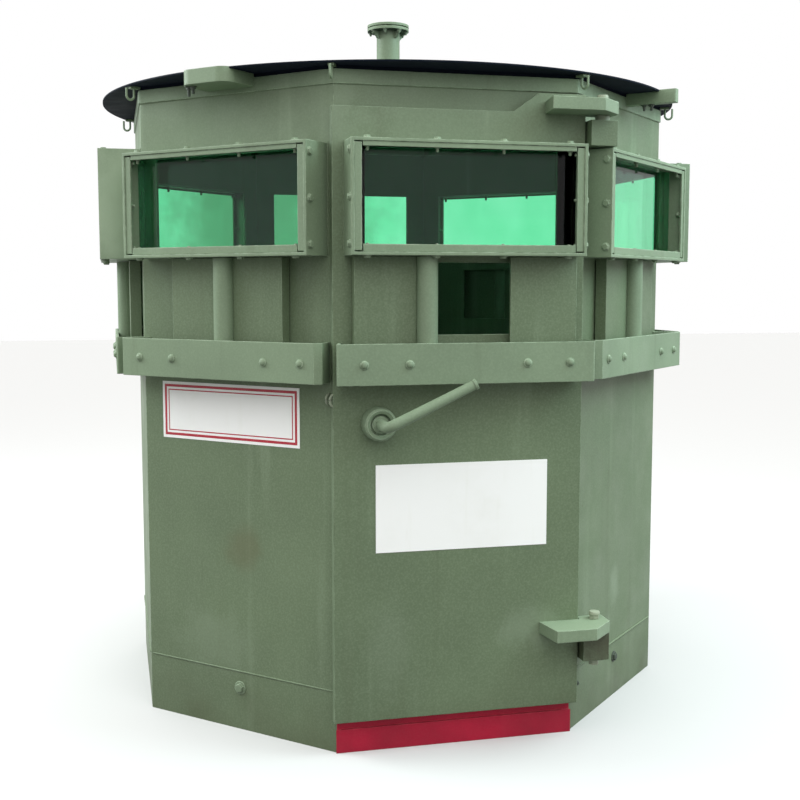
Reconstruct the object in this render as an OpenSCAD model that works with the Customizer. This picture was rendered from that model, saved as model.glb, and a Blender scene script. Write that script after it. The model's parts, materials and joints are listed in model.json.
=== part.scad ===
// Eight-sided armoured guard tower: plate walls, a full-height door, deep window boxes,
// sliding port shutters and a round roof disc with a capped pipe stub.
// Face 0 is the door side (outward -Y); face numbers run anticlockwise seen from above.

/* [Cabin] */
// Distance from the axis to the outer face of each wall
apothem = 1000; // [900:10:1200]
// Thickness of the wall plates
wall_t = 10; // [6:1:16]
// Height of the skirt plates
skirt_h = 209; // [160:1:260]
// Underside of the top ring
wall_top = 2200; // [2150:5:2400]
// Height of the top ring
ring_h = 45; // [30:1:60]
// How far the top ring stands proud of the walls
ring_proud = 5; // [2:1:10]
// Height of the floor's top surface
floor_z = 115; // [90:1:150]
// Thickness of the floor plate
floor_t = 10; // [6:1:16]

/* [Roof] */
// Radius of the roof disc
roof_r = 1129; // [1110:1:1180]
// Thickness of the roof disc
roof_t = 6; // [4:1:12]
// Thickness of the ceiling plate under the disc
ceiling_t = 12; // [8:1:20]
// Width of the corner brackets
bracket_w = 20; // [14:1:50]
// Height of the corner brackets
bracket_h = 8; // [6:1:40]
// Setback of the brackets behind the rim of the disc
bracket_setback = 9; // [4:1:16]
// Length of the corner brackets
bracket_len = 65; // [50:1:80]
// Diameter of the rod in the corner hooks
hook_d = 8; // [6:1:14]
// Thickness of the lifting lugs and of the arm
lug_t = 48; // [30:1:60]
// Width of the lifting lugs
lug_w = 200; // [130:5:220]
// How far the lifting lugs reach out from the ring
lug_reach = 145; // [130:1:180]
// Corner radius of the outer end of the lifting lugs
lug_nose = 45; // [20:1:60]
// Corner radius of the outer end of the arm
arm_nose = 6; // [3:1:10]
// Width of the arm over the hinge side of the door
arm_w = 32; // [24:1:60]
// Distance of the arm from the middle of its wall
arm_x = 32; // [0:1:80]
// How far the arm reaches out from the ring
arm_reach = 186; // [150:1:200]

/* [Roof pipe] */
// Outer diameter of the pipe stub
pipe_d = 93; // [70:1:120]
// Wall of the pipe stub
pipe_wall = 5; // [3:1:8]
// Length of the pipe stub above the roof disc
pipe_len = 318; // [200:1:420]
// Diameter of the flange and its cover
flange_d = 167; // [150:1:220]
// Thickness of the flange and of the cover
flange_t = 10; // [8:1:30]
// Gap between flange and cover round the raised face
flange_gap = 4; // [2:0.5:6]
// Diameter of the raised face under the cover
raised_d = 130; // [110:1:150]

/* [Window boxes] */
// Outer width of a window box
box_w = 780; // [700:2:800]
// Lower edge of the window boxes
box_z0 = 1655; // [1640:1:1680]
// Upper edge of the window boxes
box_z1 = 2015; // [1980:1:2030]
// Depth of a window box in front of its plate
box_depth = 120; // [100:1:140]
// Depth of the window boxes on the left, right and rear walls
side_box_depth = 150; // [120:1:170]
// Upper edge of the window boxes on the left, right and rear walls
side_box_z1 = 2045; // [2015:1:2060]
// Thickness of the box plates
box_t = 10; // [6:1:12]
// Width of the hole behind the glass
window_w = 650; // [560:2:680]
// Height of the hole behind the glass
window_h = 326; // [260:2:330]
// Thickness of the armoured glass
glass_t = 60; // [40:1:70]
// Free space round the glass inside its box
glass_gap = 0.3; // [0.1:0.1:0.8]
// Width of the clamp frame seen from the front
clamp_w = 24; // [16:1:30]
// Height of the clamp angle along the top of a box
clamp_top_h = 15; // [10:1:24]
// Plate thickness of the clamp angles
clamp_t = 7; // [4:1:9]
// Setback of the clamp frame behind the box rim
clamp_setback = 3; // [1:1:8]
// Gap between the ends of the clamp angles
clamp_gap = 4; // [2:0.5:8]

/* [Ports] */
// Width of a firing port
port_w = 350; // [280:2:370]
// Lower edge of the firing ports
port_z0 = 1400; // [1390:1:1420]
// Upper edge of the firing ports
port_z1 = 1635; // [1600:1:1640]
// Space between the door's edge and the rails beside it
rail_door_gap = 14; // [10:1:20]
// How far the ends of a rail lean outwards from its foot
rail_splay = 26; // [10:1:40]
// How much further a rail's end leans out where no door stands beside it
rail_extra = 10; // [0:1:20]
// Bevel at the front corners of the rails beside the door
rail_bevel = 20; // [10:1:30]
// Bevel at the other front corners of the rails
rail_nose = 5; // [3:1:10]
// How far the door's own rail laps over the door's edges
rail_lap = 6; // [0:1:8]
// Lower edge of the shutter rails
rail_z0 = 1245; // [1220:1:1260]
// Upper edge of the shutter rails
rail_z1 = 1377; // [1350:1:1385]
// Depth of the shutter rails in front of their plate
rail_depth = 100; // [90:1:110]
// Plate thickness of the shutter rails
rail_t = 10; // [6:1:12]
// Width of one shutter leaf
leaf_w = 237; // [220:1:245]
// Thickness of a shutter leaf
leaf_t = 12; // [8:1:16]
// Face of a shutter leaf in front of its plate
leaf_out = 45; // [38:1:50]
// Gap between the folded outer edge of a leaf and the plate behind it
lip_gap = 5; // [3:0.5:8]
// Diameter of the tube handle on the left leaf
tube_d = 68; // [50:1:74]
// How far the left leaf of the door port is slid open
door_left_open = 129; // [0:1:170]
// How far the right leaf of the door port is slid open
door_right_open = 150; // [0:1:170]

/* [Door] */
// Width of the door leaf
door_w = 856; // [840:2:860]
// Upper edge of the door leaf
door_z1 = 2126; // [2100:1:2135]
// Upper edge of the hinge ear
ear_z1 = 2188; // [2160:1:2190]
// Length of the hinge ear along its upper edge
ear_w = 165; // [120:1:220]
// Thickness of the door plate
door_t = 12; // [8:1:16]
// Face of the door plate in front of the wall
door_out = 40; // [34:1:46]
// Gap between the door's rim and the wall
door_gap = 6; // [5:0.5:9]
// Thickness of the rim bars behind the door plate
rim_t = 20; // [12:1:30]
// Width of the doorway
doorway_w = 700; // [620:2:760]
// Upper edge of the doorway
doorway_z1 = 2050; // [1980:1:2080]
// Height of the sill ledge
ledge_z = 80; // [60:1:88]
// Width of the sill ledge
ledge_w = 8; // [4:1:12]

/* [Hinges] */
// Distance of the hinge line beside the door's edge
hinge_side = 58; // [52:1:66]
// Distance of the hinge line in front of the axis plane
hinge_off = 45; // [35:1:55]
// Diameter of the hinge pins
pin_d = 26; // [18:1:32]
// Running clearance round a hinge pin
pin_gap = 0.3; // [0.2:0.1:0.6]
// Thickness of a hinge plate
hinge_t = 40; // [30:1:46]
// Underside of the lower hinge plate
hinge_z_low = 372; // [340:1:420]
// Underside of the upper hinge plate
hinge_z_high = 2122; // [2110:1:2130]
// Height of a hinge block
block_h = 95; // [70:1:110]
// Gap between the lower hinge plate and its block
hinge_gap = 6; // [5:0.5:8]
// Gap between the upper hinge plate and its block
hinge_gap_high = 18; // [12:1:36]
// Thickness of the pin heads
pin_head_h = 16; // [10:1:20]

/* [Lever] */
// Distance of the lever's axis from the door's free edge
lever_inset = 148; // [110:1:180]
// Height of the lever's axis
lever_z = 1113; // [1080:1:1140]
// Diameter of the lever boss at the door
boss_d = 112; // [100:1:130]
// Depth of the lever boss
boss_len = 52; // [46:1:70]
// Diameter of the lever's shaft and of its bar at the elbow
shaft_d = 36; // [30:1:40]
// Diameter of the lever bar at its end
bar_end_d = 32; // [24:1:36]
// Radius of the elbow between shaft and bar
elbow_r = 28; // [28:1:50]
// Length of the lever bar
bar_len = 320; // [260:1:400]
// Angle of the lever bar above level
bar_angle = 25; // [0:1:30]
// Free space between rail and lever bar
bar_clear = 25; // [18:1:40]

/* [Hidden] */
$fn = 64;
SIDES = 8;
STEP = 360 / SIDES;
HALF = STEP / 2;
EPS = 1;

DOOR_FACE = 0;
HINGE_FACE = 1;
FIXED_FACES = [for (k = [1 : SIDES - 1]) k];
DIAGONAL_FACES = [for (k = [1 : 2 : SIDES - 1]) k];
SIDE_FACES = [for (k = [2 : 2 : SIDES - 2]) k];
WALL_NAMES = ["front_right", "right", "rear_right", "rear", "rear_left", "left", "front_left"];

inner = apothem - wall_t;
roof_seat = wall_top + ring_h;
ceiling_top = roof_seat + ceiling_t;
roof_top = ceiling_top + roof_t;
window_z = (box_z0 + box_z1) / 2;
door_face = apothem + door_out;
door_z0 = floor_z;
door_back = apothem + door_gap;
hinge_y = -(apothem + hinge_off);
lever_x = lever_inset - door_w / 2;
lever_out = door_face + rail_depth + bar_clear + shaft_d / 2;
hinge_x = door_w / 2 + hinge_side;

weld_gap = 0.3;
bracket_end = roof_r - bracket_setback;
bracket_z0 = ceiling_top - bracket_h;
hook_r = 14;
hook_inset = 16.5;
hook_stem = bracket_end - hook_inset;
hook_drop = 24;
hook_z = bracket_z0 - hook_drop;
hook_tip = 26;
flange_z = roof_top + pipe_len;
gusset_count = 4;
gusset_t = 8;
gusset_h = 30;
gusset_r = flange_d / 2 - 7;
gusset_turn = 25;
box_in_w = box_w - 2 * box_t;
rail_foot = (door_back - door_w / 2) * sin(STEP) - rail_door_gap;
rail_front = rail_foot + rail_splay;
door_rail_front = door_w / 2 + rail_lap;
leaf_top = box_z0 - 2;
leaf_meet = 6;
tube_out = 56;
tube_wall = 4;
block_gap = 8;
block_margin = 44;
block_x0 = door_w / 2 + block_gap;
block_x1 = hinge_x + block_margin;
block_front = hinge_y - 30;
collar_d = 48;
hinge_nose = 18;
hinge_nose_high = -20;
pin_head_d = 36;
HINGES = [
    [hinge_z_low, hinge_gap, block_h, hinge_nose],
    [hinge_z_high, hinge_gap_high, block_h + hinge_gap - hinge_gap_high, hinge_nose_high]
];
pin_nut_h = 20;
ear_run = 87;
hinge_plate_w = 200;
hinge_margin = 40;
hinge_reach = 125;
boss_rim = 10;
dish_d = 66;
dish_floor = 32;
collar_h = 10;
cap_d = 36;
cap_len = 10;
bearer_w = 50;
bearer_t = 6;
bearer_pitch = 480;

// Y of the front right wall's outer face at a given X
function wall_line(x) = x - apothem * sqrt(2);

// Depth and upper edge of the window box on a wall
function is_side(k) = k % 2 == 0;
function depth_of(k) = is_side(k) ? side_box_depth : box_depth;
function top_of(k) = is_side(k) ? side_box_z1 : box_z1;

// Front half width and bevel of a rail's end, by whether the door stands beside it
function end_of(beside) = beside ? [rail_front, rail_bevel] : [rail_front + rail_extra, rail_nose];

WALL_NODES = [for (name = WALL_NAMES) str(name, "_wall")];
CABIN_NODES = [
    "floor_plate", "floor_bearers", "skirt_diagonals", "skirt_sides", "door_sill",
    "left_jamb", "right_jamb", "door_header", "top_ring_diagonals", "top_ring_sides",
    "ceiling_plate", "roof_disc", "roof_brackets", "roof_hooks", "lifting_lugs", "roof_pipe",
    "pipe_flange", "pipe_gussets", "flange_cover", "window_boxes", "window_glass", "glass_clamps",
    "shutter_rails", "shutter_leaves", "shutter_handles", "hinge_blocks", "hinge_pins"
];
DOOR_NODES = [
    "door_leaf", "door_rim", "door_hinge_plates", "door_window_box", "door_glass",
    "door_glass_clamp", "door_shutter_rail", "door_shutter_leaves", "door_shutter_handle",
    "lever_boss", "lever"
];

OLIVE = [0.40, 0.46, 0.35];
OLIVE_LIGHT = [0.50, 0.56, 0.45];
RED = [0.62, 0.10, 0.18];
DARK = [0.06, 0.09, 0.13];
GLASS = [0.35, 0.75, 0.55, 0.6];
STEEL = [0.55, 0.57, 0.55];

// Half width of a face at a distance from the axis
function half(off) = off * tan(HALF);

// Turns a shape made for face 0 to face k
module on_face(k) rotate([0, 0, k * STEP]) children();

// Turns a shape made for the -Y direction to corner k, between faces k and k + 1
module on_corner(k) rotate([0, 0, (k + 0.5) * STEP]) children();

// Box in face 0 coordinates: sideways range, distance range from the axis, height range
module slab(x, off, z) {
    translate([x[0], -off[1], z[0]])
        cube([x[1] - x[0], off[1] - off[0], z[1] - z[0]]);
}

// Mitred plate of one face between two distances from the axis
module mitred(off, z) {
    translate([0, 0, z[0]])
        linear_extrude(z[1] - z[0])
            polygon([
                [-half(off[1]), -off[1]], [half(off[1]), -off[1]],
                [half(off[0]), -off[0]], [-half(off[0]), -off[0]]
            ]);
}

// Octagon with its flats at a given distance from the axis
module octagon(off) rotate(HALF) circle(r = off / cos(HALF), $fn = SIDES);

// The window hole and the firing port, cut through whatever lies between two distances
module face_cuts(off) {
    depth = [off[0] - EPS, off[1] + EPS];
    slab([-window_w / 2, window_w / 2], depth, [window_z - window_h / 2, window_z + window_h / 2]);
    slab([-port_w / 2, port_w / 2], depth, [port_z0, port_z1]);
}

module wall(k) {
    color(OLIVE)
        on_face(k)
            difference() {
                mitred([inner, apothem], [skirt_h, wall_top]);
                face_cuts([inner, apothem]);
            }
}

module floor_plate() {
    color(OLIVE)
        translate([0, 0, floor_z - floor_t])
            linear_extrude(floor_t)
                octagon(inner - weld_gap);
}

// Channels under the floor plate that stand on the ground
module floor_bearers() {
    color(OLIVE)
        intersection() {
            for (k = [-1 : 1])
                translate([0, k * bearer_pitch, 0])
                    rotate([90, 0, 90])
                        linear_extrude(2 * apothem, center = true)
                            bearer_profile(floor_z - floor_t - weld_gap);
            linear_extrude(floor_z)
                octagon(inner - weld_gap);
        }
}

module bearer_profile(h) {
    w = bearer_w / 2;
    polygon([
        [-w, 0], [w, 0], [w, bearer_t], [bearer_t - w, bearer_t],
        [bearer_t - w, h - bearer_t], [w, h - bearer_t], [w, h], [-w, h]
    ]);
}

module skirt(faces) {
    color(OLIVE)
        for (k = faces)
            on_face(k) mitred([inner, apothem], [0, skirt_h]);
}

// Red plate under the door, thicker below its ledge
module door_sill() {
    color(RED) {
        mitred([inner, apothem], [0, floor_z]);
        mitred([apothem, apothem + ledge_w], [0, ledge_z]);
    }
}

module jamb(side) {
    color(OLIVE)
        intersection() {
            mitred([inner, apothem], [floor_z, wall_top]);
            slab(
                side < 0 ? [-apothem, -doorway_w / 2] : [doorway_w / 2, apothem],
                [inner - EPS, apothem + EPS], [floor_z, doorway_z1]
            );
        }
}

module left_jamb() jamb(-1);

module right_jamb() jamb(1);

module door_header() {
    color(OLIVE) mitred([inner, apothem], [doorway_z1, wall_top]);
}

module top_ring(faces) {
    color(OLIVE_LIGHT)
        for (k = faces)
            on_face(k) mitred([inner, apothem + ring_proud], [wall_top, roof_seat]);
}

module ceiling_plate() {
    color(OLIVE)
        translate([0, 0, roof_seat])
            linear_extrude(ceiling_t)
                octagon(apothem);
}

module roof_disc() {
    color(DARK)
        translate([0, 0, ceiling_top])
            cylinder(r = roof_r, h = roof_t);
}

// Block at each corner that carries the overhang of the roof disc
module roof_brackets() {
    color(OLIVE_LIGHT)
        for (k = [0 : SIDES - 1])
            on_corner(k)
                difference() {
                    slab(
                        [-bracket_w / 2, bracket_w / 2], [bracket_end - bracket_len, bracket_end],
                        [bracket_z0, ceiling_top]
                    );
                    rotate([0, 0, HALF])
                        translate([0, 0, bracket_z0 - EPS])
                            linear_extrude(ceiling_top)
                                octagon(apothem + ring_proud);
                }
}

// Open rod hook hanging under each corner bracket
module roof_hooks() {
    color(OLIVE)
        for (k = [0 : SIDES - 1])
            on_corner(k)
                translate([0, -hook_stem, hook_z])
                    rotate([0, 0, -90])
                        hook();
}

module hook() {
    cylinder(d = hook_d, h = hook_drop);
    translate([hook_r, 0, 0])
        rotate([-90, 0, 0])
            rotate_extrude(angle = 180)
                translate([hook_r, 0])
                    circle(d = hook_d);
    translate([2 * hook_r, 0, 0])
        cylinder(d = hook_d, h = hook_tip);
}

// Thick plates that grip the rim of the disc on the diagonal faces; over the hinges a longer arm
module lifting_lugs() {
    color(OLIVE_LIGHT)
        for (k = DIAGONAL_FACES)
            on_face(k) {
                if (k == HINGE_FACE) lug([arm_x, arm_x + arm_w], arm_reach, arm_nose);
                if (k != HINGE_FACE) lug([-lug_w / 2, lug_w / 2], lug_reach, lug_nose);
            }
}

// Plate from the ring to its outer end, whose two corners are rounded
module lug(x, reach, nose) {
    seat = apothem + ring_proud;
    tip = seat + reach;
    difference() {
        translate([0, 0, roof_top - lug_t])
            linear_extrude(lug_t) {
                polygon([
                    [x[0], -seat], [x[1], -seat], [x[1], nose - tip], [x[1] - nose, -tip],
                    [x[0] + nose, -tip], [x[0], nose - tip]
                ]);
                for (c = [x[0] + nose, x[1] - nose])
                    translate([c, nose - tip]) circle(r = nose);
            }
        translate([0, 0, ceiling_top - weld_gap])
            cylinder(r = roof_r + weld_gap, h = roof_t + weld_gap + EPS);
    }
}

module roof_pipe() {
    color(OLIVE)
        translate([0, 0, roof_top])
            difference() {
                cylinder(d = pipe_d, h = pipe_len);
                translate([0, 0, -EPS])
                    cylinder(d = pipe_d - 2 * pipe_wall, h = pipe_len + 2 * EPS);
            }
}

module pipe_flange() {
    color(OLIVE_LIGHT)
        translate([0, 0, flange_z])
            difference() {
                cylinder(d = flange_d, h = flange_t);
                translate([0, 0, -EPS])
                    cylinder(d = pipe_d - 2 * pipe_wall, h = flange_t + 2 * EPS);
            }
}

// Triangular plates between the pipe and the underside of its flange
module pipe_gussets() {
    color(OLIVE_LIGHT)
        for (k = [0 : gusset_count - 1])
            rotate([0, 0, gusset_turn + k * 360 / gusset_count])
                difference() {
                    translate([0, gusset_t / 2, flange_z])
                        rotate([90, 0, 0])
                            linear_extrude(gusset_t)
                                polygon([
                                    [0, 0], [gusset_r, 0], [gusset_r, -gusset_t],
                                    [pipe_d / 2 + gusset_t, -gusset_h], [0, -gusset_h]
                                ]);
                    translate([0, 0, roof_top])
                        cylinder(d = pipe_d + 2 * weld_gap, h = pipe_len + EPS);
                }
}

// Blind cover whose raised face seats on the flange
module flange_cover() {
    color(OLIVE_LIGHT)
        translate([0, 0, flange_z + flange_t]) {
            cylinder(d = raised_d, h = flange_gap);
            translate([0, 0, flange_gap])
                cylinder(d = flange_d, h = flange_t);
        }
}

// Four plates welded into a deep frame in front of a plate at a distance from the axis
module window_box(base, depth, z1) {
    color(OLIVE_LIGHT)
        difference() {
            slab([-box_w / 2, box_w / 2], [base, base + depth], [box_z0, z1]);
            slab(
                [-box_in_w / 2, box_in_w / 2], [base - EPS, base + depth + EPS],
                [box_z0 + box_t, z1 - box_t]
            );
        }
}

// One armoured pane, seated against the plate round its hole
module pane(base, z1) {
    color(GLASS)
        slab(
            [-box_in_w / 2 + glass_gap, box_in_w / 2 - glass_gap], [base, base + glass_t],
            [box_z0 + box_t + glass_gap, z1 - box_t - glass_gap]
        );
}

// Four angle bars that clamp the pane inside its box
module clamp(base, depth, z1) {
    front = base + depth - clamp_setback;
    back = base + glass_t;
    w = box_in_w / 2 - glass_gap;
    low = box_z0 + box_t + glass_gap;
    high = z1 - box_t - glass_gap;
    bar_w = w - clamp_w - clamp_gap;
    color(OLIVE) {
        for (side = [0, 1])
            mirror([side, 0, 0])
                clamp_upright(w, [low + clamp_gap, high - clamp_gap], back, front);
        clamp_bar(bar_w, [low, low + clamp_t], [low, low + clamp_w], back, front);
        clamp_bar(bar_w, [high - clamp_t, high], [high - clamp_top_h, high], back, front);
    }
}

// Upright angle along the left side of a box
module clamp_upright(w, z, back, front) {
    slab([-w, clamp_w - w], [front - clamp_t, front], z);
    slab([-w, clamp_t - w], [back, front], z);
}

// Level angle along the bottom or the top of a box, by the heights of its two legs
module clamp_bar(w, flat_leg, front_leg, back, front) {
    slab([-w, w], [front - clamp_t, front], front_leg);
    slab([-w, w], [back, front], flat_leg);
}

// Trough that guides the foot of the shutter leaves, its ends folded back to the plate
module shutter_rail(base, foot, left, right) {
    color(OLIVE)
        translate([0, 0, rail_z0])
            difference() {
                linear_extrude(rail_z1 - rail_z0)
                    rail_plan(base, foot, left, right, 0, 0);
                translate([0, 0, rail_t])
                    linear_extrude(rail_z1 - rail_z0)
                        rail_plan(base, foot, left, right, rail_t, EPS);
            }
}

// Outline of a rail seen from above, taken in by a plate thickness and run on behind its plate
module rail_plan(base, foot, left, right, inset, back) {
    out = base + rail_depth - inset;
    x = foot - inset;
    x0 = left[0] - inset;
    x1 = right[0] - inset;
    polygon([
        [-x, back - base], [x, back - base], [x1, right[1] - out], [x1 - right[1], -out],
        [left[1] - x0, -out], [-x0, left[1] - out]
    ]);
}

// Two sliding leaves, each moved aside by its own amount
module leaf_pair(base, left_open, right_open) {
    color(OLIVE)
        difference() {
            union() {
                leaf(base, [-leaf_w - left_open, -left_open], -leaf_w - left_open);
                leaf(base, [leaf_meet + right_open, leaf_w + right_open], leaf_w + right_open - leaf_t);
            }
            translate([-left_open, -base - tube_out, rail_z0])
                cylinder(d = tube_d + 2 * weld_gap, h = leaf_top);
        }
}

// Leaf with its outer edge folded back towards the plate
module leaf(base, x, lip_x) {
    z = [rail_z0 + rail_t, leaf_top];
    slab(x, [base + leaf_out - leaf_t, base + leaf_out], z);
    slab([lip_x, lip_x + leaf_t], [base + lip_gap, base + leaf_out], z);
}

// Upright tube on the meeting edge of the left leaf
module tube(base, left_open) {
    color(OLIVE_LIGHT)
        translate([-left_open, -base - tube_out, rail_z0 + rail_t])
            difference() {
                cylinder(d = tube_d, h = leaf_top - rail_z0 - rail_t);
                translate([0, 0, -EPS])
                    cylinder(d = tube_d - 2 * tube_wall, h = leaf_top);
            }
}

module window_boxes() for (k = FIXED_FACES) on_face(k) window_box(apothem, depth_of(k), top_of(k));

module window_glass() for (k = FIXED_FACES) on_face(k) pane(apothem, top_of(k));

module glass_clamps() for (k = FIXED_FACES) on_face(k) clamp(apothem, depth_of(k), top_of(k));

module shutter_rails() {
    for (k = FIXED_FACES)
        on_face(k)
            shutter_rail(apothem, rail_foot, end_of(k == DOOR_FACE + 1), end_of(k == SIDES - 1));
}

module shutter_leaves() for (k = FIXED_FACES) on_face(k) leaf_pair(apothem, 0, 0);

module shutter_handles() for (k = FIXED_FACES) on_face(k) tube(apothem, 0);

// Welded blocks on the front right wall that carry the hinge pins
module hinge_blocks() {
    color(OLIVE)
        for (h = HINGES)
            difference() {
                translate([0, 0, h[0] - h[1] - h[2]])
                    linear_extrude(h[2])
                        polygon([
                            [block_x0, block_front], [block_x1, block_front],
                            [block_x1, wall_line(block_x1)], [block_x0, wall_line(block_x0)]
                        ]);
                translate([hinge_x, hinge_y, h[0] - h[1] - h[2] - EPS])
                    cylinder(d = pin_d + 2 * pin_gap, h = h[2] + 2 * EPS);
            }
}

// Headed pins with the collar that the hinge plate turns on; the lower one ends in a nut
module hinge_pins() {
    color(STEEL) {
        for (h = HINGES)
            hinge_pin(h[0], h[1], h[2]);
        translate([hinge_x, hinge_y, hinge_z_low - hinge_gap - block_h - pin_nut_h])
            cylinder(d = pin_head_d, h = pin_nut_h, $fn = 6);
    }
}

module hinge_pin(z, gap, depth) {
    translate([hinge_x, hinge_y, z]) {
        translate([0, 0, -gap - depth])
            cylinder(d = pin_d, h = gap + depth + hinge_t + pin_gap);
        translate([0, 0, -gap])
            cylinder(d = collar_d, h = gap - pin_gap);
        translate([0, 0, hinge_t + pin_gap])
            cylinder(d = pin_head_d, h = pin_head_h, $fn = 6);
    }
}

// Door plate with its hinge ear, window hole and port
module door_leaf() {
    color(OLIVE)
        difference() {
            translate([0, -(door_face - door_t), 0])
                rotate([90, 0, 0])
                    linear_extrude(door_t)
                        polygon([
                            [-door_w / 2, door_z0], [door_w / 2, door_z0], [door_w / 2, ear_z1],
                            [door_w / 2 - ear_w, ear_z1],
                            [door_w / 2 - ear_w - ear_run, door_z1], [-door_w / 2, door_z1]
                        ]);
            face_cuts([door_face - door_t, door_face]);
        }
}

// Bars round the back of the door plate
module door_rim() {
    color(OLIVE)
        difference() {
            slab([-door_w / 2, door_w / 2], [door_back, door_face - door_t], [door_z0, door_z1]);
            slab(
                [-door_w / 2 + rim_t, door_w / 2 - rim_t], [door_back - EPS, door_face],
                [door_z0 + rim_t, door_z1 - rim_t]
            );
        }
}

// Thick level plates on the door face that turn on the hinge pins
module door_hinge_plates() {
    color(OLIVE_LIGHT)
        for (h = HINGES)
            translate([0, 0, h[0]])
                difference() {
                    linear_extrude(hinge_t)
                        hinge_plan(h[3]);
                    translate([hinge_x, hinge_y, -EPS])
                        cylinder(d = pin_d + 2 * pin_gap, h = hinge_t + 2 * EPS);
                }
}

// Outline of a hinge plate by the slant of its free end
module hinge_plan(nose) {
    edge = door_w / 2 + door_gap;
    tip = hinge_x + hinge_margin;
    back = hinge_y + hinge_margin;
    front = -door_face - hinge_reach;
    polygon([
        [hinge_x - hinge_plate_w, -door_face], [hinge_x - hinge_plate_w + nose, front],
        [hinge_x - hinge_margin, front], [tip, hinge_y - hinge_margin], [tip, back],
        [edge, back], [edge, -door_face]
    ]);
}

module door_window_box() window_box(door_face, box_depth, box_z1);

module door_glass() pane(door_face, box_z1);

module door_glass_clamp() clamp(door_face, box_depth, box_z1);

module door_shutter_rail() {
    end = [door_rail_front, rail_t / 2];
    shutter_rail(door_face, door_rail_front - rail_splay, end, end);
}

module door_shutter_leaves() leaf_pair(door_face, door_left_open, door_right_open);

module door_shutter_handle() tube(door_face, door_left_open);

// Dished bearing of the lever on the door face
module lever_boss() {
    bore = shaft_d / 2 + pin_gap;
    r = boss_d / 2;
    color(OLIVE)
        translate([lever_x, -door_face, lever_z])
            rotate([90, 0, 0])
                rotate_extrude()
                    polygon([
                        [bore, 0], [r, 0], [r, boss_len / 3], [r - boss_rim / 3, boss_len - boss_rim / 2],
                        [r - boss_rim, boss_len], [r - 2 * boss_rim, boss_len - boss_rim / 2],
                        [dish_d / 2, dish_floor], [bore, dish_floor]
                    ]);
}

// Shaft with its collar, elbow, tapered bar and end cap of the door lever
module lever() {
    reach = lever_out - door_face - elbow_r;
    color(OLIVE_LIGHT)
        translate([lever_x, -door_face, lever_z])
            rotate([90, 0, 0])
                rotate([0, 0, bar_angle]) {
                    translate([0, 0, pin_gap])
                        cylinder(d = shaft_d, h = reach - pin_gap);
                    translate([0, 0, dish_floor + pin_gap])
                        cylinder(d = dish_d - boss_rim, h = collar_h);
                    translate([elbow_r, 0, reach])
                        rotate([90, 0, 0])
                            rotate([0, 0, 90])
                                rotate_extrude(angle = 90)
                                    translate([elbow_r, 0])
                                        circle(d = shaft_d);
                    translate([elbow_r, 0, reach + elbow_r])
                        rotate([0, 90, 0]) {
                            cylinder(d1 = shaft_d, d2 = bar_end_d, h = bar_len - elbow_r);
                            translate([0, 0, bar_len - elbow_r - cap_len])
                                cylinder(d = cap_d, h = cap_len);
                        }
                }
}

for (k = FIXED_FACES)
    wall(k);
floor_plate();
floor_bearers();
skirt(DIAGONAL_FACES);  // skirt_diagonals
skirt(SIDE_FACES);  // skirt_sides
door_sill();
left_jamb();
right_jamb();
door_header();
top_ring(DIAGONAL_FACES);  // top_ring_diagonals
top_ring(concat(DOOR_FACE, SIDE_FACES));  // top_ring_sides
ceiling_plate();
roof_disc();
roof_brackets();
roof_hooks();
lifting_lugs();
roof_pipe();
pipe_flange();
pipe_gussets();
flange_cover();
window_boxes();
window_glass();
glass_clamps();
shutter_rails();
shutter_leaves();
shutter_handles();
hinge_blocks();
hinge_pins();
door_leaf();
door_rim();
door_hinge_plates();
door_window_box();
door_glass();
door_glass_clamp();
door_shutter_rail();
door_shutter_leaves();
door_shutter_handle();
lever_boss();
lever();
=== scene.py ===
"""Armoured guard tower: paint, glass, fasteners, welds, blank signs, light and camera."""
import json
import math
import random

import bmesh
import bpy
from mathutils import Matrix, Vector


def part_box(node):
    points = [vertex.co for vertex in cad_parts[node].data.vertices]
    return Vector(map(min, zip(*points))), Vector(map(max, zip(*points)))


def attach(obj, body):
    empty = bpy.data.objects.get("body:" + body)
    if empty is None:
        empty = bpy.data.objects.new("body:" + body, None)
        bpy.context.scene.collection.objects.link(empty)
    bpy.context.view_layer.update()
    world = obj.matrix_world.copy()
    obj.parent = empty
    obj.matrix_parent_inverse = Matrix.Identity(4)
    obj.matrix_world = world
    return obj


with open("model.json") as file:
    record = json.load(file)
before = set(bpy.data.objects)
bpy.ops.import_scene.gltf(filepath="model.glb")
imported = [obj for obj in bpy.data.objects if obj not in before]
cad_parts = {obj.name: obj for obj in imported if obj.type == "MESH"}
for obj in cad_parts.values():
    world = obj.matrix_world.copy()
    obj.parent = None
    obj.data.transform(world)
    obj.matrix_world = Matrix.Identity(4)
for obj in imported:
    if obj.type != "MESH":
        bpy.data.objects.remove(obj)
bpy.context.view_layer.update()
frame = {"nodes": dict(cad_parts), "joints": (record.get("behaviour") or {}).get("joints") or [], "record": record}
nodes = frame["nodes"]
UP = Vector((0, 0, 1))


def span(node, axis):
    """Lowest and highest value of a solid along x, y or z, to a tenth of a millimetre."""
    return [round(getattr(corner, axis), 4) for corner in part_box(node)]


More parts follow.
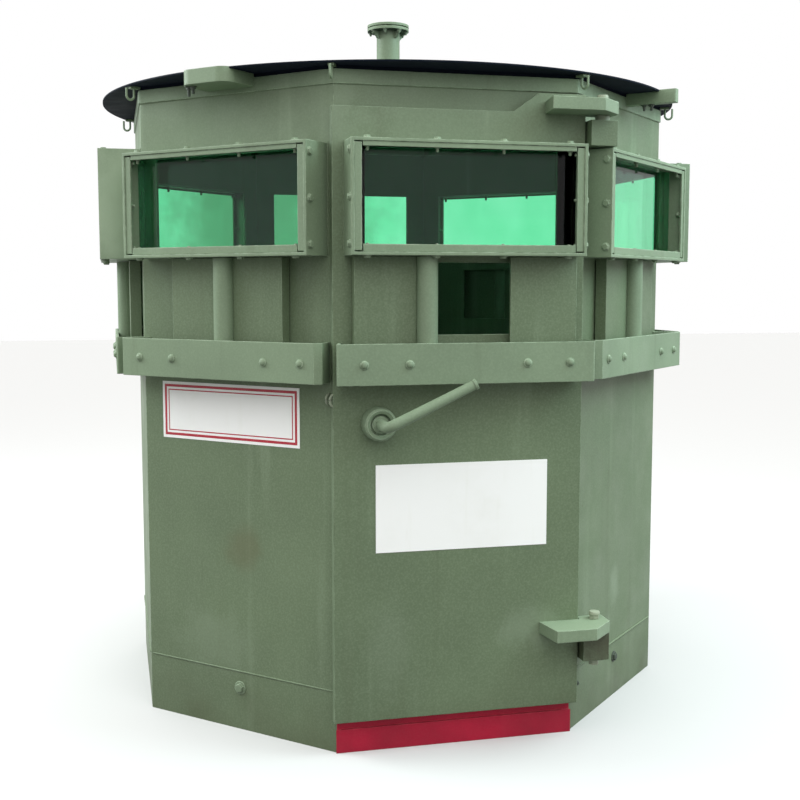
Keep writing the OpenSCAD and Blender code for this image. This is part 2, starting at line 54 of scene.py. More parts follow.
# Sizes of the solids in metres, from the frame
FACES = 8
STEP = math.tau / FACES
FRONT_RIGHT, FRONT_LEFT = 1, 7
APOTHEM = span("skirt_sides", "x")[1]
HALF_FACE = APOTHEM * math.tan(STEP / 2)
SKIRT_TOP = span("skirt_sides", "z")[1]
WALL_TOP = span("front_left_wall", "z")[1]
DOOR_EDGE = span("door_leaf", "x")[0]
DOOR_Y = span("door_leaf", "y")
DOOR_FACE = -DOOR_Y[0]
BOX_W = 2 * span("door_window_box", "x")[1]
BOX_Z = span("door_window_box", "z")
BOX_DEPTH = -span("door_window_box", "y")[0] - DOOR_FACE
SIDE_BOX_DEPTH = span("window_boxes", "x")[1] - APOTHEM
SIDE_BOX_TOP = span("window_boxes", "z")[1]
RAIL_DEPTH = span("shutter_rails", "x")[1] - APOTHEM
RAIL_FOOT = span("shutter_rails", "z")[0]
LUG_FOOT = span("lifting_lugs", "z")[0]
PIN_TOP = span("hinge_pins", "z")[1]
PIN_AT = next(j["pos_m"][:2] for j in frame["joints"] if j["name"] == "door_hinge")
FLANGE_Z = span("pipe_flange", "z")


# Points and directions
def face_frame(k):
    """Rotation that takes face 0, the door's, to face k."""
    return Matrix.Rotation(k * STEP, 4, "Z")


def on_face(k, along, off, z):
    """Point on face k: sideways from its middle, distance from the axis, height."""
    return face_frame(k) @ Vector((along, -off, z))


def out_of(k):
    """Outward direction of face k."""
    return face_frame(k).to_3x3() @ Vector((0, -1, 0))


def side_of(k):
    """Sideways direction of face k, to the right of a person facing it."""
    return face_frame(k).to_3x3() @ Vector((1, 0, 0))


def has_side_box(k):
    """True on the right, rear and left faces, whose window boxes are deeper and higher."""
    return k > 0 and k % 2 == 0


def box_size(k):
    """Depth and height range of the window box on face k."""
    if has_side_box(k):
        return SIDE_BOX_DEPTH, (BOX_Z[0], SIDE_BOX_TOP)
    return BOX_DEPTH, BOX_Z


# Mesh building
def skin(bm, rings):
    """Walls between rings of points that follow each other, and a face on both ends."""
    for low, high in zip(rings, rings[1:]):
        for i in range(len(low)):
            j = (i + 1) % len(low)
            bm.faces.new((low[i], low[j], high[j], high[i]))
    bm.faces.new(list(reversed(rings[0])))
    bm.faces.new(rings[-1])


def ring(bm, centre, x, y, radius, segments, turn=0.0):
    """Circle of points in the plane of x and y."""
    angles = [turn + math.tau * i / segments for i in range(segments)]
    return [bm.verts.new(centre + (x * math.cos(a) + y * math.sin(a)) * radius) for a in angles]


def lathe(bm, origin, axis, profile, segments, turn=0.0):
    """Turns (radius, height) pairs round an axis through origin; closes both ends."""
    origin, axis = Vector(origin), Vector(axis).normalized()
    x = axis.orthogonal().normalized()
    y = axis.cross(x)
    rings = [ring(bm, origin + axis * h, x, y, radius, segments, turn) for radius, h in profile]
    skin(bm, rings)


def sweep(bm, points, radii, segments):
    """Round rod along a line of points with one radius per point."""
    rings = []
    for i, (point, radius) in enumerate(zip(points, radii)):
        ahead = points[min(i + 1, len(points) - 1)] - points[max(i - 1, 0)]
        d = ahead.normalized()
        x = d.cross(UP)
        x = x.normalized() if x.length > 1e-3 else d.orthogonal().normalized()
        rings.append(ring(bm, point, x, d.cross(x), radius, segments))
    skin(bm, rings)


def bead(bm, start, end, radius, seed):
    """Weld bead with the ripples and slight unevenness of a hand weld."""
    ripple_len, ripple, end_taper, uneven = 0.006, 0.12, 0.55, 0.15
    rng = random.Random(seed)
    count = max(4, int((end - start).length / ripple_len))
    points, radii = [], []
    for i in range(count + 1):
        points.append(start.lerp(end, i / count))
        swell = 1 + (ripple if i % 2 else -ripple)
        taper = end_taper if i in (0, count) else 1
        radii.append(radius * swell * taper * rng.uniform(1 - uneven, 1 + uneven))
    sweep(bm, points, radii, 6)


def any_turn(seed):
    """Angle at which a nut or a bolt head came to rest."""
    return random.Random(seed).uniform(0, math.tau)


def hex_bolt(bm, origin, axis, size, seed, washer):
    """Hexagon head on a washer; size is across the corners, washer is a multiple of it."""
    r = size / 2
    w = r * washer
    lathe(bm, origin, axis, [(w, -0.001), (w, 0.0018), (w - 0.0006, 0.0026), (r, 0.0026)], 28)
    head = [(r, 0.0024), (r, r * 0.62), (r * 0.9, r * 0.74), (r * 0.45, r * 0.76)]
    lathe(bm, origin, axis, head, 6, any_turn(seed))


def stud_end(bm, origin, axis, size, seed):
    """Nut with the end of its bolt standing through it."""
    r = size / 2
    nut = [(r * 0.92, 0), (r, 0.0012), (r, r * 0.8), (r * 0.92, r * 0.92)]
    lathe(bm, origin, axis, nut, 6, any_turn(seed))
    end = [(r * 0.55, r * 0.8), (r * 0.55, r * 1.9), (r * 0.42, r * 2.15)]
    lathe(bm, origin, axis, end, 16)


def hanging_bolt(bm, origin, size, length, seed):
    """Washer, nut and the long end of their bolt under a level plate."""
    r = size / 2
    lathe(bm, origin, -UP, [(r * 1.5, 0), (r * 1.5, 0.0025), (r, 0.0025)], 20)
    lathe(bm, origin, -UP, [(r, 0.002), (r, r * 0.9), (r * 0.9, r)], 6, any_turn(seed))
    lathe(bm, origin, -UP, [(r * 0.58, r * 0.8), (r * 0.58, length - 0.002), (r * 0.42, length)], 14)


def dome_bolt(bm, origin, axis, size):
    """Round-topped head on a wide washer."""
    r = size / 2
    w = r * 1.3
    lathe(bm, origin, axis, [(w, -0.001), (w, 0.002), (w - 0.0008, 0.003), (r, 0.003)], 28)
    angles = [math.tau * i / 40 for i in range(10)]
    dome = [(r * math.cos(a), 0.003 + r * 0.72 * math.sin(a)) for a in angles]
    lathe(bm, origin, axis, dome, 28)


def piece(name, body, materials, draw, smooth_deg=35):
    """Piece that rides on a body, with the mesh that draw makes."""
    bm = bmesh.new()
    draw(bm)
    bmesh.ops.recalc_face_normals(bm, faces=bm.faces)
    mesh = bpy.data.meshes.new(name)
    bm.to_mesh(mesh)
    bm.free()
    for m in materials:
        mesh.materials.append(m)
    obj = bpy.data.objects.new(name, mesh)
    bpy.context.scene.collection.objects.link(obj)
    mesh.polygons.foreach_set("use_smooth", [True] * len(mesh.polygons))
    mesh.set_sharp_from_angle(angle=math.radians(smooth_deg))
    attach(obj, body)


# Shader building
def linear(r, g, b):
    """Linear colour from 8-bit display values."""
    def one(v):
        v /= 255
        return v / 12.92 if v <= 0.04045 else ((v + 0.055) / 1.055) ** 2.4
    return (one(r), one(g), one(b), 1.0)


def add(tree, kind, inputs=None, **props):
    """Shader node with properties set and its inputs set or linked."""
    n = tree.nodes.new("ShaderNode" + kind)
    for key, value in props.items():
        setattr(n, key, value)
    for key, value in (inputs or {}).items():
        if isinstance(value, bpy.types.NodeSocket):
            tree.links.new(value, n.inputs[key])
        else:
            n.inputs[key].default_value = value
    return n


def material(name):
    """New material with its node tree and its shader."""
    mat = bpy.data.materials.new(name)
    mat.use_nodes = True
    tree = mat.node_tree
    tree.nodes.clear()
    out = add(tree, "OutputMaterial")
    bsdf = add(tree, "BsdfPrincipled")
    tree.links.new(bsdf.outputs[0], out.inputs[0])
    return mat, tree, bsdf


def mix(tree, fac, a, b):
    """Colour between a and b."""
    return add(tree, "Mix", {0: fac, 6: a, 7: b}, data_type="RGBA").outputs[2]


def band(tree, value, low, high, to=1.0):
    """Smooth step of a value from 0 at low to the given height at high."""
    return add(
        tree, "MapRange", {"Value": value, "From Min": low, "From Max": high, "To Max": to},
        interpolation_type="SMOOTHSTEP",
    ).outputs[0]


def spread(tree, value, low, high, to_low, to_high):
    """Straight change of a value from to_low at low to to_high at high."""
    inputs = {"Value": value, "From Min": low, "From Max": high, "To Min": to_low, "To Max": to_high}
    return add(tree, "MapRange", inputs).outputs[0]


def maths(tree, operation, a, b):
    """One arithmetic operation on two values."""
    return add(tree, "Math", {0: a, 1: b}, operation=operation).outputs[0]


def noise(tree, coord, scale, detail, stretch=(1, 1, 1), rough=0.55):
    """Cloud noise, drawn out along an axis where stretch is small."""
    where = add(tree, "Mapping", {"Vector": coord, "Scale": stretch}).outputs[0]
    return add(
        tree, "TexNoise", {"Vector": where, "Scale": scale, "Detail": detail, "Roughness": rough}
    ).outputs[0]


def edges(tree, radius):
    """Mask of the outer edges and the rounded normal that goes with it."""
    rounded = add(tree, "Bevel", {"Radius": radius}, samples=6).outputs[0]
    flat = add(tree, "NewGeometry").outputs["Normal"]
    dot = add(tree, "VectorMath", {0: rounded, 1: flat}, operation="DOT_PRODUCT").outputs["Value"]
    return band(tree, dot, 0.995, 0.9), rounded


def tint_patch(tree, coord, colour, where, size, tint, amount, scale):
    """Soft patch of another tint round one point, with an edge as rough as noise of that scale."""
    gap = add(tree, "VectorMath", {0: coord, 1: where}, operation="SUBTRACT").outputs[0]
    gap = add(tree, "VectorMath", {0: gap, 1: size}, operation="DIVIDE").outputs[0]
    far = add(tree, "VectorMath", {0: gap}, operation="LENGTH").outputs["Value"]
    far = maths(tree, "ADD", far, maths(tree, "MULTIPLY", noise(tree, coord, scale, 5), 0.9))
    return mix(tree, band(tree, far, 1.5, 0.75, amount), colour, tint)


def seen_directly(tree):
    """1 for rays from the camera, from a reflection and through glass, 0 for rays that carry light."""
    path = add(tree, "LightPath")
    seen = maths(tree, "MAXIMUM", path.outputs["Is Camera Ray"], path.outputs["Is Glossy Ray"])
    return maths(tree, "MAXIMUM", seen, path.outputs["Is Transmission Ray"])


# Paint
def cloudy_tone(tree, coord, grain, base, light, grime):
    """Uneven base tone with fine grain, pale rain streaks and dark runs."""
    dark, pale = (tuple(c * f for c in base[:3]) + (1.0,) for f in (0.9, 1.1))
    colour = mix(tree, band(tree, noise(tree, coord, 1.7, 6), 0.3, 0.7), dark, pale)
    colour = mix(tree, band(tree, grain, 0.35, 0.75, 0.10), colour, light)
    streaks = noise(tree, coord, 9, 4, (1, 1, 0.07))
    colour = mix(tree, band(tree, streaks, 0.56, 0.78, 0.16), colour, light)
    runs = noise(tree, coord, 14, 3, (1, 1, 0.05))
    return mix(tree, band(tree, runs, 0.58, 0.75, 0.18), colour, grime)


def age(tree, coord, colour, edge, light, grime, rust, wear_and_highlight):
    """Dirt near the ground, lighter edges that are partly rubbed paint and partly painted highlight, rusty chips
    and dust on level tops.
    """
    height = add(tree, "SeparateXYZ", {0: coord}).outputs["Z"]
    dirt = maths(tree, "MULTIPLY", band(tree, height, 0.32, 0.0), noise(tree, coord, 5, 6))
    colour = mix(tree, band(tree, dirt, 0.1, 0.8, 0.55), colour, grime)
    # Lighter edges: rubbed paint, and painted highlight where this is set high.
    worn_and_lit_edge = maths(tree, "MULTIPLY", edge, band(tree, noise(tree, coord, 24, 5), 0.35, 0.62))
    colour = mix(tree, maths(tree, "MULTIPLY", worn_and_lit_edge, wear_and_highlight), colour, light)
    chips = band(tree, noise(tree, coord, 38, 6, rough=0.7), 0.69, 0.74)
    chips = maths(tree, "MULTIPLY", chips, band(tree, noise(tree, coord, 2.3, 2), 0.5, 0.68, 0.7))
    colour = mix(tree, chips, colour, rust)
    normal = add(tree, "SeparateXYZ", {0: add(tree, "NewGeometry").outputs["Normal"]})
    dust = maths(tree, "MULTIPLY", band(tree, normal.outputs["Z"], 0.6, 0.95), 0.15)
    return mix(tree, dust, colour, light)


def paint(name, base, light, grime, rust, wear_and_highlight=0.55, tint_patches=(), rough=0.5, shine=0.35):
    """Brushed plate paint with its weather, its patches of grime and of painted light and shade, and lighter edges
    that are partly rubbed paint and partly painted highlight.
    """
    mat, tree, bsdf = material(name)
    coord = add(tree, "TexCoord").outputs["Object"]
    grain = noise(tree, coord, 160, 3)
    colour = cloudy_tone(tree, coord, grain, base, light, grime)
    # Patches of grime and of painted light and shade.
    for patch in tint_patches:
        colour = tint_patch(tree, coord, colour, *patch)
    edge, rounded = edges(tree, 0.004)
    colour = age(tree, coord, colour, edge, light, grime, rust, wear_and_highlight)
    tree.links.new(colour, bsdf.inputs["Base Color"])
    gloss = spread(tree, noise(tree, coord, 6, 5), 0.3, 0.7, rough - 0.08, rough + 0.14)
    tree.links.new(gloss, bsdf.inputs["Roughness"])
    height = maths(tree, "ADD", maths(tree, "MULTIPLY", grain, 0.25), noise(tree, coord, 7, 2))
    bump = add(tree, "Bump", {"Strength": 0.10, "Distance": 0.004, "Height": height, "Normal": rounded})
    tree.links.new(bump.outputs[0], bsdf.inputs["Normal"])
    bsdf.inputs["Specular IOR Level"].default_value = shine
    return mat


OLIVE = linear(99, 115, 88)
OLIVE_LIGHT = linear(176, 196, 168)
OLIVE_FITTINGS = linear(121, 139, 113)
GRIME = linear(76, 80, 56)
RUST = linear(98, 78, 52)
BROWN = linear(96, 94, 66)
UMBER = linear(64, 62, 46)
CHALK_AND_LIGHT = linear(160, 176, 154)

# Each patch: middle, half size each way, tint, strength, scale of its edge
WALL_STAINS_AND_PAINTED_LIGHT = [
    (on_face(FRONT_LEFT, 0.024, APOTHEM, 0.653), (0.10, 0.10, 0.10), BROWN, 0.45, 16),
    (on_face(FRONT_LEFT, -0.10, APOTHEM, 0.30), (0.22, 0.22, 0.14), CHALK_AND_LIGHT, 0.12, 12),
    (on_face(0, 0.26, DOOR_FACE, 0.40), (0.16, 0.08, 0.10), CHALK_AND_LIGHT, 0.18, 18),
    (on_face(0, -0.24, DOOR_FACE, 0.36), (0.10, 0.08, 0.22), CHALK_AND_LIGHT, 0.10, 14),
    (on_face(FRONT_RIGHT, 0.01, APOTHEM, 0.433), (0.06, 0.06, 0.10), CHALK_AND_LIGHT, 0.25, 12),
    # Umber patch on the lower hinge block: partly brown grime, partly painted shade under the hinge plate.
    ((0.50, -1.05, 0.32), (0.12, 0.08, 0.12), UMBER, 0.85, 20),
    # The two wide pale bands high on the front left wall and above the door are painted light, lifting the shade
    # under the roof's rim.
    (on_face(FRONT_LEFT, 0, APOTHEM, 2.125), (0.7, 0.7, 0.25), CHALK_AND_LIGHT, 0.13, 10),
    (on_face(0, 0, APOTHEM, 2.125), (0.7, 0.7, 0.25), CHALK_AND_LIGHT, 0.15, 10),
]
# Pale patch on the front-facing side plate of the left window box: painted highlight.
FITTING_PAINTED_HIGHLIGHTS = [((-1.08, -0.40, 1.85), (0.2, 0.06, 0.35), OLIVE_LIGHT, 0.6, 12)]

olive = paint("olive_paint", OLIVE, OLIVE_LIGHT, GRIME, RUST, tint_patches=WALL_STAINS_AND_PAINTED_LIGHT)
# Fittings paint: its strong edge lightening is partly painted highlight along box and rail edges.
olive_plain = paint(
    "olive_fittings", OLIVE_FITTINGS, OLIVE_LIGHT, GRIME, RUST, wear_and_highlight=0.9, tint_patches=FITTING_PAINTED_HIGHLIGHTS
)
red = paint("sill_red", linear(190, 22, 58), linear(206, 90, 100), linear(92, 18, 30), linear(96, 60, 52))
deck = paint("floor_deck", linear(84, 90, 76), linear(120, 124, 110), GRIME, RUST, rough=0.7)
roof = paint(
    "roof_sheet", linear(12, 19, 30), linear(28, 38, 50), linear(10, 14, 18), linear(24, 26, 28),
    rough=0.75, shine=0.1,
)
# Dark bolt paint: a darker copy of the olive bolt paint, painted shade.
bolt_shade_dark = paint("bolt_painted_shade", linear(58, 68, 58), linear(110, 120, 104), linear(36, 40, 32), linear(70, 52, 38))
steel = paint("pin_steel", linear(146, 156, 134), linear(190, 198, 178), GRIME, RUST, wear_and_highlight=0.8, rough=0.42)


# Glass and enamel
def armoured_glass():
    """Thick green laminated glass, faintly smeared, deeper in tint towards the rear left."""
    mat, tree, bsdf = material("armoured_glass")
    coord = add(tree, "TexCoord").outputs["Object"]
    smear = noise(tree, coord, 7, 5, (1, 1, 0.6))
    colour = mix(tree, band(tree, smear, 0.35, 0.7), linear(176, 247, 214), linear(158, 240, 202))
    rear_left = ((-0.45, 0.95, 1.85), (0.75, 0.75, 0.75), linear(115, 165, 131), 1.0, 9)
    colour = tint_patch(tree, coord, colour, *rear_left)
    tree.links.new(colour, bsdf.inputs["Base Color"])
    haze = spread(tree, noise(tree, coord, 12, 6), 0.45, 0.8, 0.0, 0.02)
    tree.links.new(haze, bsdf.inputs["Roughness"])
    bsdf.inputs["Transmission Weight"].default_value = 1.0
    bsdf.inputs["IOR"].default_value = 1.3
    bsdf.inputs["Specular IOR Level"].default_value = 0.3
    return mat


def enamel(name, colour, dirt):
    """Sign enamel with weathered patches and dull streaks."""
    mat, tree, bsdf = material(name)
    coord = add(tree, "TexCoord").outputs["Object"]
    tone = mix(tree, band(tree, noise(tree, coord, 5, 5), 0.45, 0.75, 0.35), colour, dirt)
    tone = mix(tree, band(tree, noise(tree, coord, 26, 4, (1, 1, 0.15)), 0.55, 0.8, 0.3), tone, dirt)
    tree.links.new(tone, bsdf.inputs["Base Color"])
    gloss = spread(tree, noise(tree, coord, 18, 4), 0.0, 1.0, 0.3, 0.55)
    tree.links.new(gloss, bsdf.inputs["Roughness"])
    return mat


glass = armoured_glass()
sign_white = enamel("sign_white", linear(255, 255, 254), linear(238, 238, 233))
sign_red = enamel("sign_red", linear(176, 34, 52), linear(150, 60, 66))

# Materials of the solids
SLOT_MATERIALS = {
    "olive_paint": olive, "floor_paint": deck, "red_paint": red,
    "roof_sheet": roof, "armoured_glass": glass, "pin_steel": steel,
}
# The top ring takes the lighter fittings paint as painted light, against the shade under the roof's rim.
FITTINGS = {
    "window_boxes", "glass_clamps", "door_window_box", "door_glass_clamp", "door_hinge_plates",
    "lever", "lever_boss", "lifting_lugs", "roof_pipe", "pipe_flange", "flange_cover", "pipe_gussets",
    "roof_hooks", "shutter_rails", "door_shutter_rail", "shutter_handles", "door_shutter_handle",
    "top_ring_diagonals", "top_ring_sides",
}
for sub in frame["record"]["subparts"]:
    finish = olive_plain if sub["node"] in FITTINGS else SLOT_MATERIALS[sub["material_slot"]]
    for s in nodes[sub["node"]].material_slots:
        s.material = finish


# Fasteners of the window boxes and the rails; washers are multiples of their bolt
BOX_T = 0.01
CLAMP_T = 0.007
NUT_GAP = 0.0005
BOLT_SETBACK = 0.020
BOX_BOLT, BOX_NUT, BOX_WASHER = 0.023, 0.019, 1.25
BOX_BOLTS_ALONG = (-0.335, -0.11, 0.11, 0.335)
BOX_BOLTS_UP = (-0.145, 0, 0.145)
RAIL_BOLT = 0.023
RAIL_BOLT_RISE = 0.065
RAIL_BOLTS_ALONG = (-0.346, -0.198, 0.198, 0.346)


def box_bolts(bm, k, base):
    """Bolts through the plates of one window box, with their nuts inside."""
    depth, (low, high) = box_size(k)
    off = base + depth - BOLT_SETBACK
    inner = BOX_T + CLAMP_T + NUT_GAP
    for along in BOX_BOLTS_ALONG:
        for z, way in ((high, 1), (low, -1)):
            seed = along + way * k
            hex_bolt(bm, on_face(k, along, off, z), UP * way, BOX_BOLT, seed, BOX_WASHER)
            stud_end(bm, on_face(k, along, off, z - way * inner), UP * -way, BOX_NUT, seed)
    if has_side_box(k):
        return
    mid = (low + high) / 2
    for dz in BOX_BOLTS_UP:
        for s in (-1, 1):
            side = side_of(k) * s
            hex_bolt(bm, on_face(k, s * BOX_W / 2, off, mid + dz), side, BOX_BOLT, dz + k + s, BOX_WASHER)
            stud_end(bm, on_face(k, s * (BOX_W / 2 - inner), off, mid + dz), -side, BOX_NUT, dz - k + s)


def rail_bolts(bm, k, base):
    """Round heads along the front of one shutter rail."""
    for along in RAIL_BOLTS_ALONG:
        spot = on_face(k, along, base + RAIL_DEPTH, RAIL_FOOT + RAIL_BOLT_RISE)
        dome_bolt(bm, spot, out_of(k), RAIL_BOLT)


def on_walls(maker):
    """Drawing of one kind of fitting on every wall."""
    def draw(bm):
        for k in range(1, FACES):
            maker(bm, k, APOTHEM)
    return draw


def on_door(maker):
    """Drawing of one kind of fitting on the door."""
    def draw(bm):
        maker(bm, 0, DOOR_FACE)
    return draw


piece("window_bolts", "cabin", [olive_plain], on_walls(box_bolts))
piece("door_window_bolts", "door", [olive_plain], on_door(box_bolts))
piece("rail_bolts", "cabin", [olive_plain], on_walls(rail_bolts))
piece("door_rail_bolts", "door", [olive_plain], on_door(rail_bolts))

# Other fasteners
SKIRT_BOLT_Z = 0.15
SKIRT_BOLT, SKIRT_WASHER, SKIRT_BOLT_ALONG = 0.030, 1.4, 0.016
SMALL_BOLT, SMALL_BOLT_ALONG = 0.014, -0.341
FRONT_LEFT_BOLT, FRONT_LEFT_WASHER, FRONT_LEFT_ALONG = 0.032, 1.5, 0.004
LUG_BOLT = 0.018
LUG_BOLT_OFF = 1.112
ARM_BOLT, ARM_BOLT_LEN = 0.016, 0.022
ARM_ALONG = 0.048
ARM_BOLTS_OFF = (1.068, 1.096)
PIN_SPACING = 1.75
FLANGE_BOLTS = 8
FLANGE_BOLT, FLANGE_BOLT_LEN = 0.015, 0.014
FLANGE_BOLT_R = 0.072

# Each bolt end under a lug: place sideways, length
LUG_BOLTS = ((-0.088, 0.032), (-0.070, 0.024))

# Outlines of turned ends: radius, height
PIN_CAP = [(0.019, -0.001), (0.019, 0.007), (0.017, 0.010), (0.008, 0.011)]
FLANGE_STUD = [(0.005, 0), (0.005, 0.004)]


def skirt_bolts(bm):
    """Bolts low on three diagonal faces and a small one at the door's hinge side, all painted dark as painted
    shade.
    """
    for k in (1, 3, 5):
        spot = on_face(k, SKIRT_BOLT_ALONG, APOTHEM, SKIRT_BOLT_Z)
        hex_bolt(bm, spot, out_of(k), SKIRT_BOLT, k, SKIRT_WASHER)
    spot = on_face(FRONT_RIGHT, SMALL_BOLT_ALONG, APOTHEM, SKIRT_BOLT_Z)
    dome_bolt(bm, spot, out_of(FRONT_RIGHT), SMALL_BOLT)


def front_left_skirt_bolt(bm):
    """Painted bolt low on the face left of the door."""
    spot = on_face(FRONT_LEFT, FRONT_LEFT_ALONG, APOTHEM, SKIRT_BOLT_Z)
    hex_bolt(bm, spot, out_of(FRONT_LEFT), FRONT_LEFT_BOLT, FRONT_LEFT, FRONT_LEFT_WASHER)


def lug_bolts(bm):
    """Bolt ends under the lifting lugs and under the arm over the hinge side."""
    for k in (3, 5, 7):
        for along, length in LUG_BOLTS:
            hanging_bolt(bm, on_face(k, along, LUG_BOLT_OFF, LUG_FOOT), LUG_BOLT, length, k + along)
    for off in ARM_BOLTS_OFF:
        spot = on_face(FRONT_RIGHT, ARM_ALONG, off, LUG_FOOT)
        hanging_bolt(bm, spot, ARM_BOLT, ARM_BOLT_LEN, off)


def pin_caps(bm):
    """Round heads on top of the two hinge pins."""
    for z in (PIN_TOP - PIN_SPACING, PIN_TOP):
        lathe(bm, (*PIN_AT, z), UP, PIN_CAP, 28)


def flange_bolts(bm):
    """Ring of bolts through the flange of the roof pipe."""
    foot, top = FLANGE_Z
    for i in range(FLANGE_BOLTS):
        a = math.tau * (i + 0.5) / FLANGE_BOLTS
        x, y = FLANGE_BOLT_R * math.cos(a), FLANGE_BOLT_R * math.sin(a)
        hanging_bolt(bm, (x, y, foot), FLANGE_BOLT, FLANGE_BOLT_LEN, i)
        lathe(bm, (x, y, top), UP, FLANGE_STUD, 12)


# The dark bolt paint on these bolts is painted shade.
piece("skirt_bolts", "cabin", [bolt_shade_dark], skirt_bolts)
piece("front_left_skirt_bolt", "cabin", [olive_plain], front_left_skirt_bolt)
piece("lug_bolts", "cabin", [bolt_shade_dark], lug_bolts)
piece("pin_caps", "cabin", [steel], pin_caps)
piece("flange_bolts", "cabin", [olive_plain], flange_bolts)

# Welds
BOX_WELD = 0.004
SKIRT_WELD = 0.0045
FRONT_LEFT_SKIRT_WELD = 0.003
TOP_WELD = 0.003
WELD_OUTSET = 0.001
SKIRT_WELD_STOP = 0.01
TOP_SEED = 40
DOOR_SEEDS = (60, 70)


def level_bead(bm, k, base, reach, z, radius, seed):
    """Bead along a face at one height, reaching as far to both sides."""
    bead(bm, on_face(k, -reach, base, z), on_face(k, reach, base, z), radius, seed)


def box_welds(bm, k, base, level_seed, upright_seed):
    """Beads round the foot of one window box."""
    low, high = box_size(k)[1]
    for z, out in ((low, -WELD_OUTSET), (high, WELD_OUTSET)):
        level_bead(bm, k, base, BOX_W / 2, z + out, BOX_WELD, level_seed + z)
    for s in (-1, 1):
        x = s * (BOX_W / 2 + WELD_OUTSET)
        bead(bm, on_face(k, x, base, low), on_face(k, x, base, high), BOX_WELD, upright_seed + s)


def cabin_welds(bm):
    """Seams over the skirt, round the wall boxes and under the top ring."""
    for k in range(1, FACES):
        radius = FRONT_LEFT_SKIRT_WELD if k == FRONT_LEFT else SKIRT_WELD
        level_bead(bm, k, APOTHEM, HALF_FACE - SKIRT_WELD_STOP, SKIRT_TOP, radius, k)
        box_welds(bm, k, APOTHEM, k * 7, k * 5)
    for k in range(FACES):
        level_bead(bm, k, APOTHEM, HALF_FACE, WALL_TOP, TOP_WELD, TOP_SEED + k)


def door_welds(bm):
    """Seam round the door's window box."""
    box_welds(bm, 0, DOOR_FACE, *DOOR_SEEDS)


piece("cabin_welds", "cabin", [olive], cabin_welds, smooth_deg=60)
piece("door_welds", "door", [olive], door_welds, smooth_deg=60)

# Padlock staples at the seam between the door and the wall
STAPLE_Z = 1.190
STAPLE_W = 0.036
STAPLE_ROD = 0.0042
STAPLE_ROOT = 0.004
STAPLE_STEPS = 16
WALL_STAPLE_ALONG, WALL_STAPLE_REACH = 0.392, 0.019
DOOR_STAPLE_REACH = 0.009


def staple(bm, middle, out, reach):
    """Bent rod with both ends let into a surface, one above the other."""
    points = []
    for i in range(STAPLE_STEPS + 1):
        a = math.pi * i / STAPLE_STEPS
        points.append(middle + UP * (-math.cos(a) * STAPLE_W / 2) + out * (math.sin(a) * reach))
    points.insert(0, points[0] - out * STAPLE_ROOT)
    points.append(points[-1] - out * STAPLE_ROOT)
    sweep(bm, points, [STAPLE_ROD] * len(points), 10)


def wall_staple(bm):
    """Staple on the front left wall, beside the seam."""
    spot = on_face(FRONT_LEFT, WALL_STAPLE_ALONG, APOTHEM, STAPLE_Z)
    staple(bm, spot, out_of(FRONT_LEFT), WALL_STAPLE_REACH)


def door_staple(bm):
    """Staple on the free edge of the door plate."""
    spot = Vector((DOOR_EDGE, sum(DOOR_Y) / 2, STAPLE_Z))
    staple(bm, spot, -side_of(0), DOOR_STAPLE_REACH)


piece("wall_staple", "cabin", [steel], wall_staple)
piece("door_staple", "door", [steel], door_staple)

# Blank sign plates
SIGN_T = 0.0015
PRINT_T = 0.0003
WALL_SIGN_ALONG, WALL_SIGN_Z = (-0.331, 0.272), (1.019, 1.221)
DOOR_SIGN_ALONG, DOOR_SIGN_Z = (-0.288, 0.307), (0.683, 0.975)

# Each printed line round a plate: inset from its edge, width
FRAME_LINES = ((0.010, 0.009), (0.027, 0.004))


def slab_on_face(bm, k, base, along, z, thick, index):
    """Thin plate with its back on a surface."""
    outline = [(along[0], z[0]), (along[1], z[0]), (along[1], z[1]), (along[0], z[1])]
    back = [bm.verts.new(on_face(k, x, base, y)) for x, y in outline]
    front = [bm.verts.new(on_face(k, x, base + thick, y)) for x, y in outline]
    faces = [bm.faces.new(front), bm.faces.new(list(reversed(back)))]
    for i in range(4):
        j = (i + 1) % 4
        faces.append(bm.faces.new((back[i], back[j], front[j], front[i])))
    for f in faces:
        f.material_index = index


def frame_line(bm, k, base, along, z, inset, width):
    """Printed line round a plate, inset from its edge."""
    a0, a1 = along[0] + inset, along[1] - inset
    z0, z1 = z[0] + inset, z[1] - inset
    for a, h in (
        ((a0, a1), (z0, z0 + width)),
        ((a0, a1), (z1 - width, z1)),
        ((a0, a0 + width), (z0 + width, z1 - width)),
        ((a1 - width, a1), (z0 + width, z1 - width)),
    ):
        slab_on_face(bm, k, base, a, h, PRINT_T, 1)


def wall_sign(bm):
    """White plate with two red frame lines."""
    slab_on_face(bm, FRONT_LEFT, APOTHEM, WALL_SIGN_ALONG, WALL_SIGN_Z, SIGN_T, 0)
    for inset, width in FRAME_LINES:
        frame_line(bm, FRONT_LEFT, APOTHEM + SIGN_T, WALL_SIGN_ALONG, WALL_SIGN_Z, inset, width)


def door_sign(bm):
    """Plain white plate."""
    slab_on_face(bm, 0, DOOR_FACE, DOOR_SIGN_ALONG, DOOR_SIGN_Z, SIGN_T, 0)


piece("wall_sign", "cabin", [sign_white, sign_red], wall_sign)
piece("door_sign", "door", [sign_white], door_sign)

# Floor, light and camera
FLOOR_HALF = 30
FLOOR_BOUNCE = (0.06, 0.06, 0.055, 1)
FLOOR_SEEN = (0.52, 0.52, 0.52, 1)
FLOOR_GLOW = 0.10
WHITE = (1, 1, 1, 1)
SKY_TINT = (1.0, 1.0, 0.98, 1)
SKY_LEVEL = 0.84
SKY_RISE = 1.5

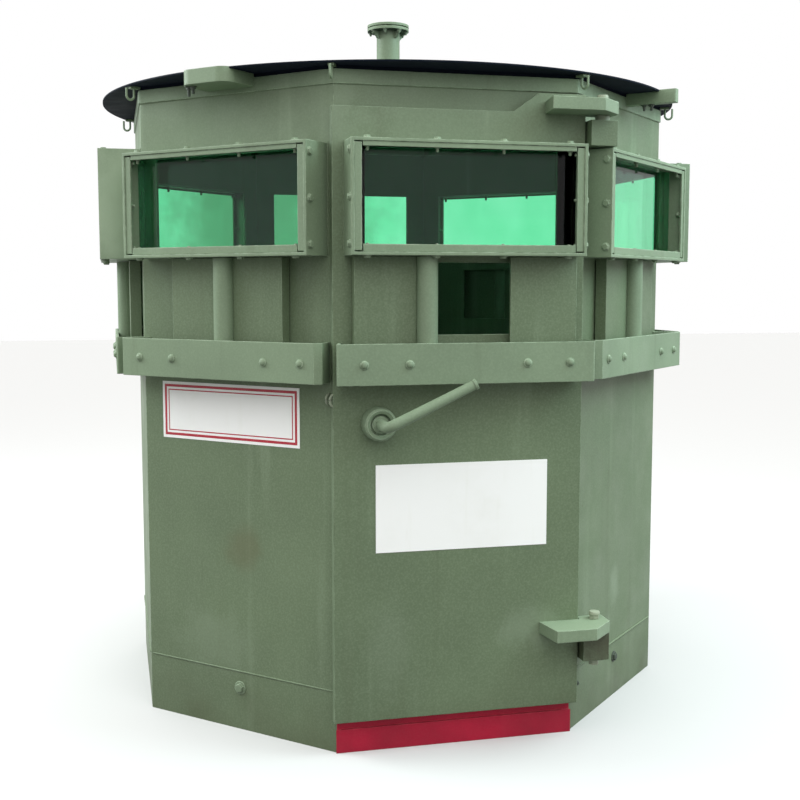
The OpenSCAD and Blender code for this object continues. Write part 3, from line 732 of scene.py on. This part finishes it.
# Each lamp: name, place, aim, size, watts, tint
LAMPS = (
    ("front", (-0.3, -3.6, 3.5), (0, -1, 2.0), 2.5, 22, (1.0, 1.0, 0.98)),
    ("right", (3.0, -1.8, 3.6), (0.6, -0.6, 1.6), 2.5, 115, (0.74, 0.98, 1.0)),
    ("left", (-4.5, 1.4, 4.0), (-0.5, 0, 1.4), 3.0, 220, (0.90, 1.0, 1.0)),
)
CAMERA_PLACE = (-1.1153, -4.7423, 1.5608)
CAMERA_TURN = (1.47334, 0.0, -0.24084)
LENS_MM, SENSOR_MM = 52.763, 36


def stage_floor():
    """Pale floor that shows white, keeps the shadow and throws little light back."""
    bm = bmesh.new()
    bmesh.ops.create_grid(bm, x_segments=8, y_segments=8, size=FLOOR_HALF)
    mesh = bpy.data.meshes.new("floor")
    bm.to_mesh(mesh)
    bm.free()
    obj = bpy.data.objects.new("floor", mesh)
    bpy.context.scene.collection.objects.link(obj)
    mat, tree, bsdf = material("pale_floor")
    seen = seen_directly(tree)
    tree.links.new(mix(tree, seen, FLOOR_BOUNCE, FLOOR_SEEN), bsdf.inputs["Base Color"])
    tree.links.new(maths(tree, "MULTIPLY", seen, FLOOR_GLOW), bsdf.inputs["Emission Strength"])
    bsdf.inputs["Emission Color"].default_value = WHITE
    bsdf.inputs["Roughness"].default_value = 0.9
    mesh.materials.append(mat)


def sky():
    """White surroundings that light the object softly, more from above."""
    world = bpy.data.worlds.new("studio")
    bpy.context.scene.world = world
    world.use_nodes = True
    tree = world.node_tree
    background = tree.nodes["Background"]
    seen = seen_directly(tree)
    height = add(tree, "SeparateXYZ", {0: add(tree, "TexCoord").outputs["Generated"]}).outputs["Z"]
    height = maths(tree, "POWER", maths(tree, "MAXIMUM", height, 0.0), 2.0)
    glow = maths(tree, "ADD", maths(tree, "MULTIPLY", height, SKY_RISE), SKY_LEVEL)
    level = add(tree, "Mix", {0: seen, 2: glow, 3: 1.0}, data_type="FLOAT").outputs[0]
    tree.links.new(mix(tree, seen, SKY_TINT, WHITE), background.inputs["Color"])
    tree.links.new(level, background.inputs["Strength"])


def lamps():
    """Three large soft lamps."""
    for name, place, aim, size, power, tint in LAMPS:
        lamp = bpy.data.lights.new(name, "AREA")
        lamp.size = size
        lamp.energy = power
        lamp.color = tint
        obj = bpy.data.objects.new(name, lamp)
        obj.location = place
        obj.rotation_euler = (Vector(aim) - Vector(place)).to_track_quat("-Z", "Y").to_euler()
        bpy.context.scene.collection.objects.link(obj)


def photo_camera():
    """Camera at the photograph's viewing angle."""
    data = bpy.data.cameras.new("camera")
    data.sensor_width = SENSOR_MM
    data.lens = LENS_MM
    obj = bpy.data.objects.new("camera", data)
    obj.location = CAMERA_PLACE
    obj.rotation_euler = CAMERA_TURN
    bpy.context.scene.collection.objects.link(obj)
    bpy.context.scene.camera = obj


bpy.context.scene.view_settings.view_transform = "Standard"
stage_floor()
sky()
lamps()
photo_camera()
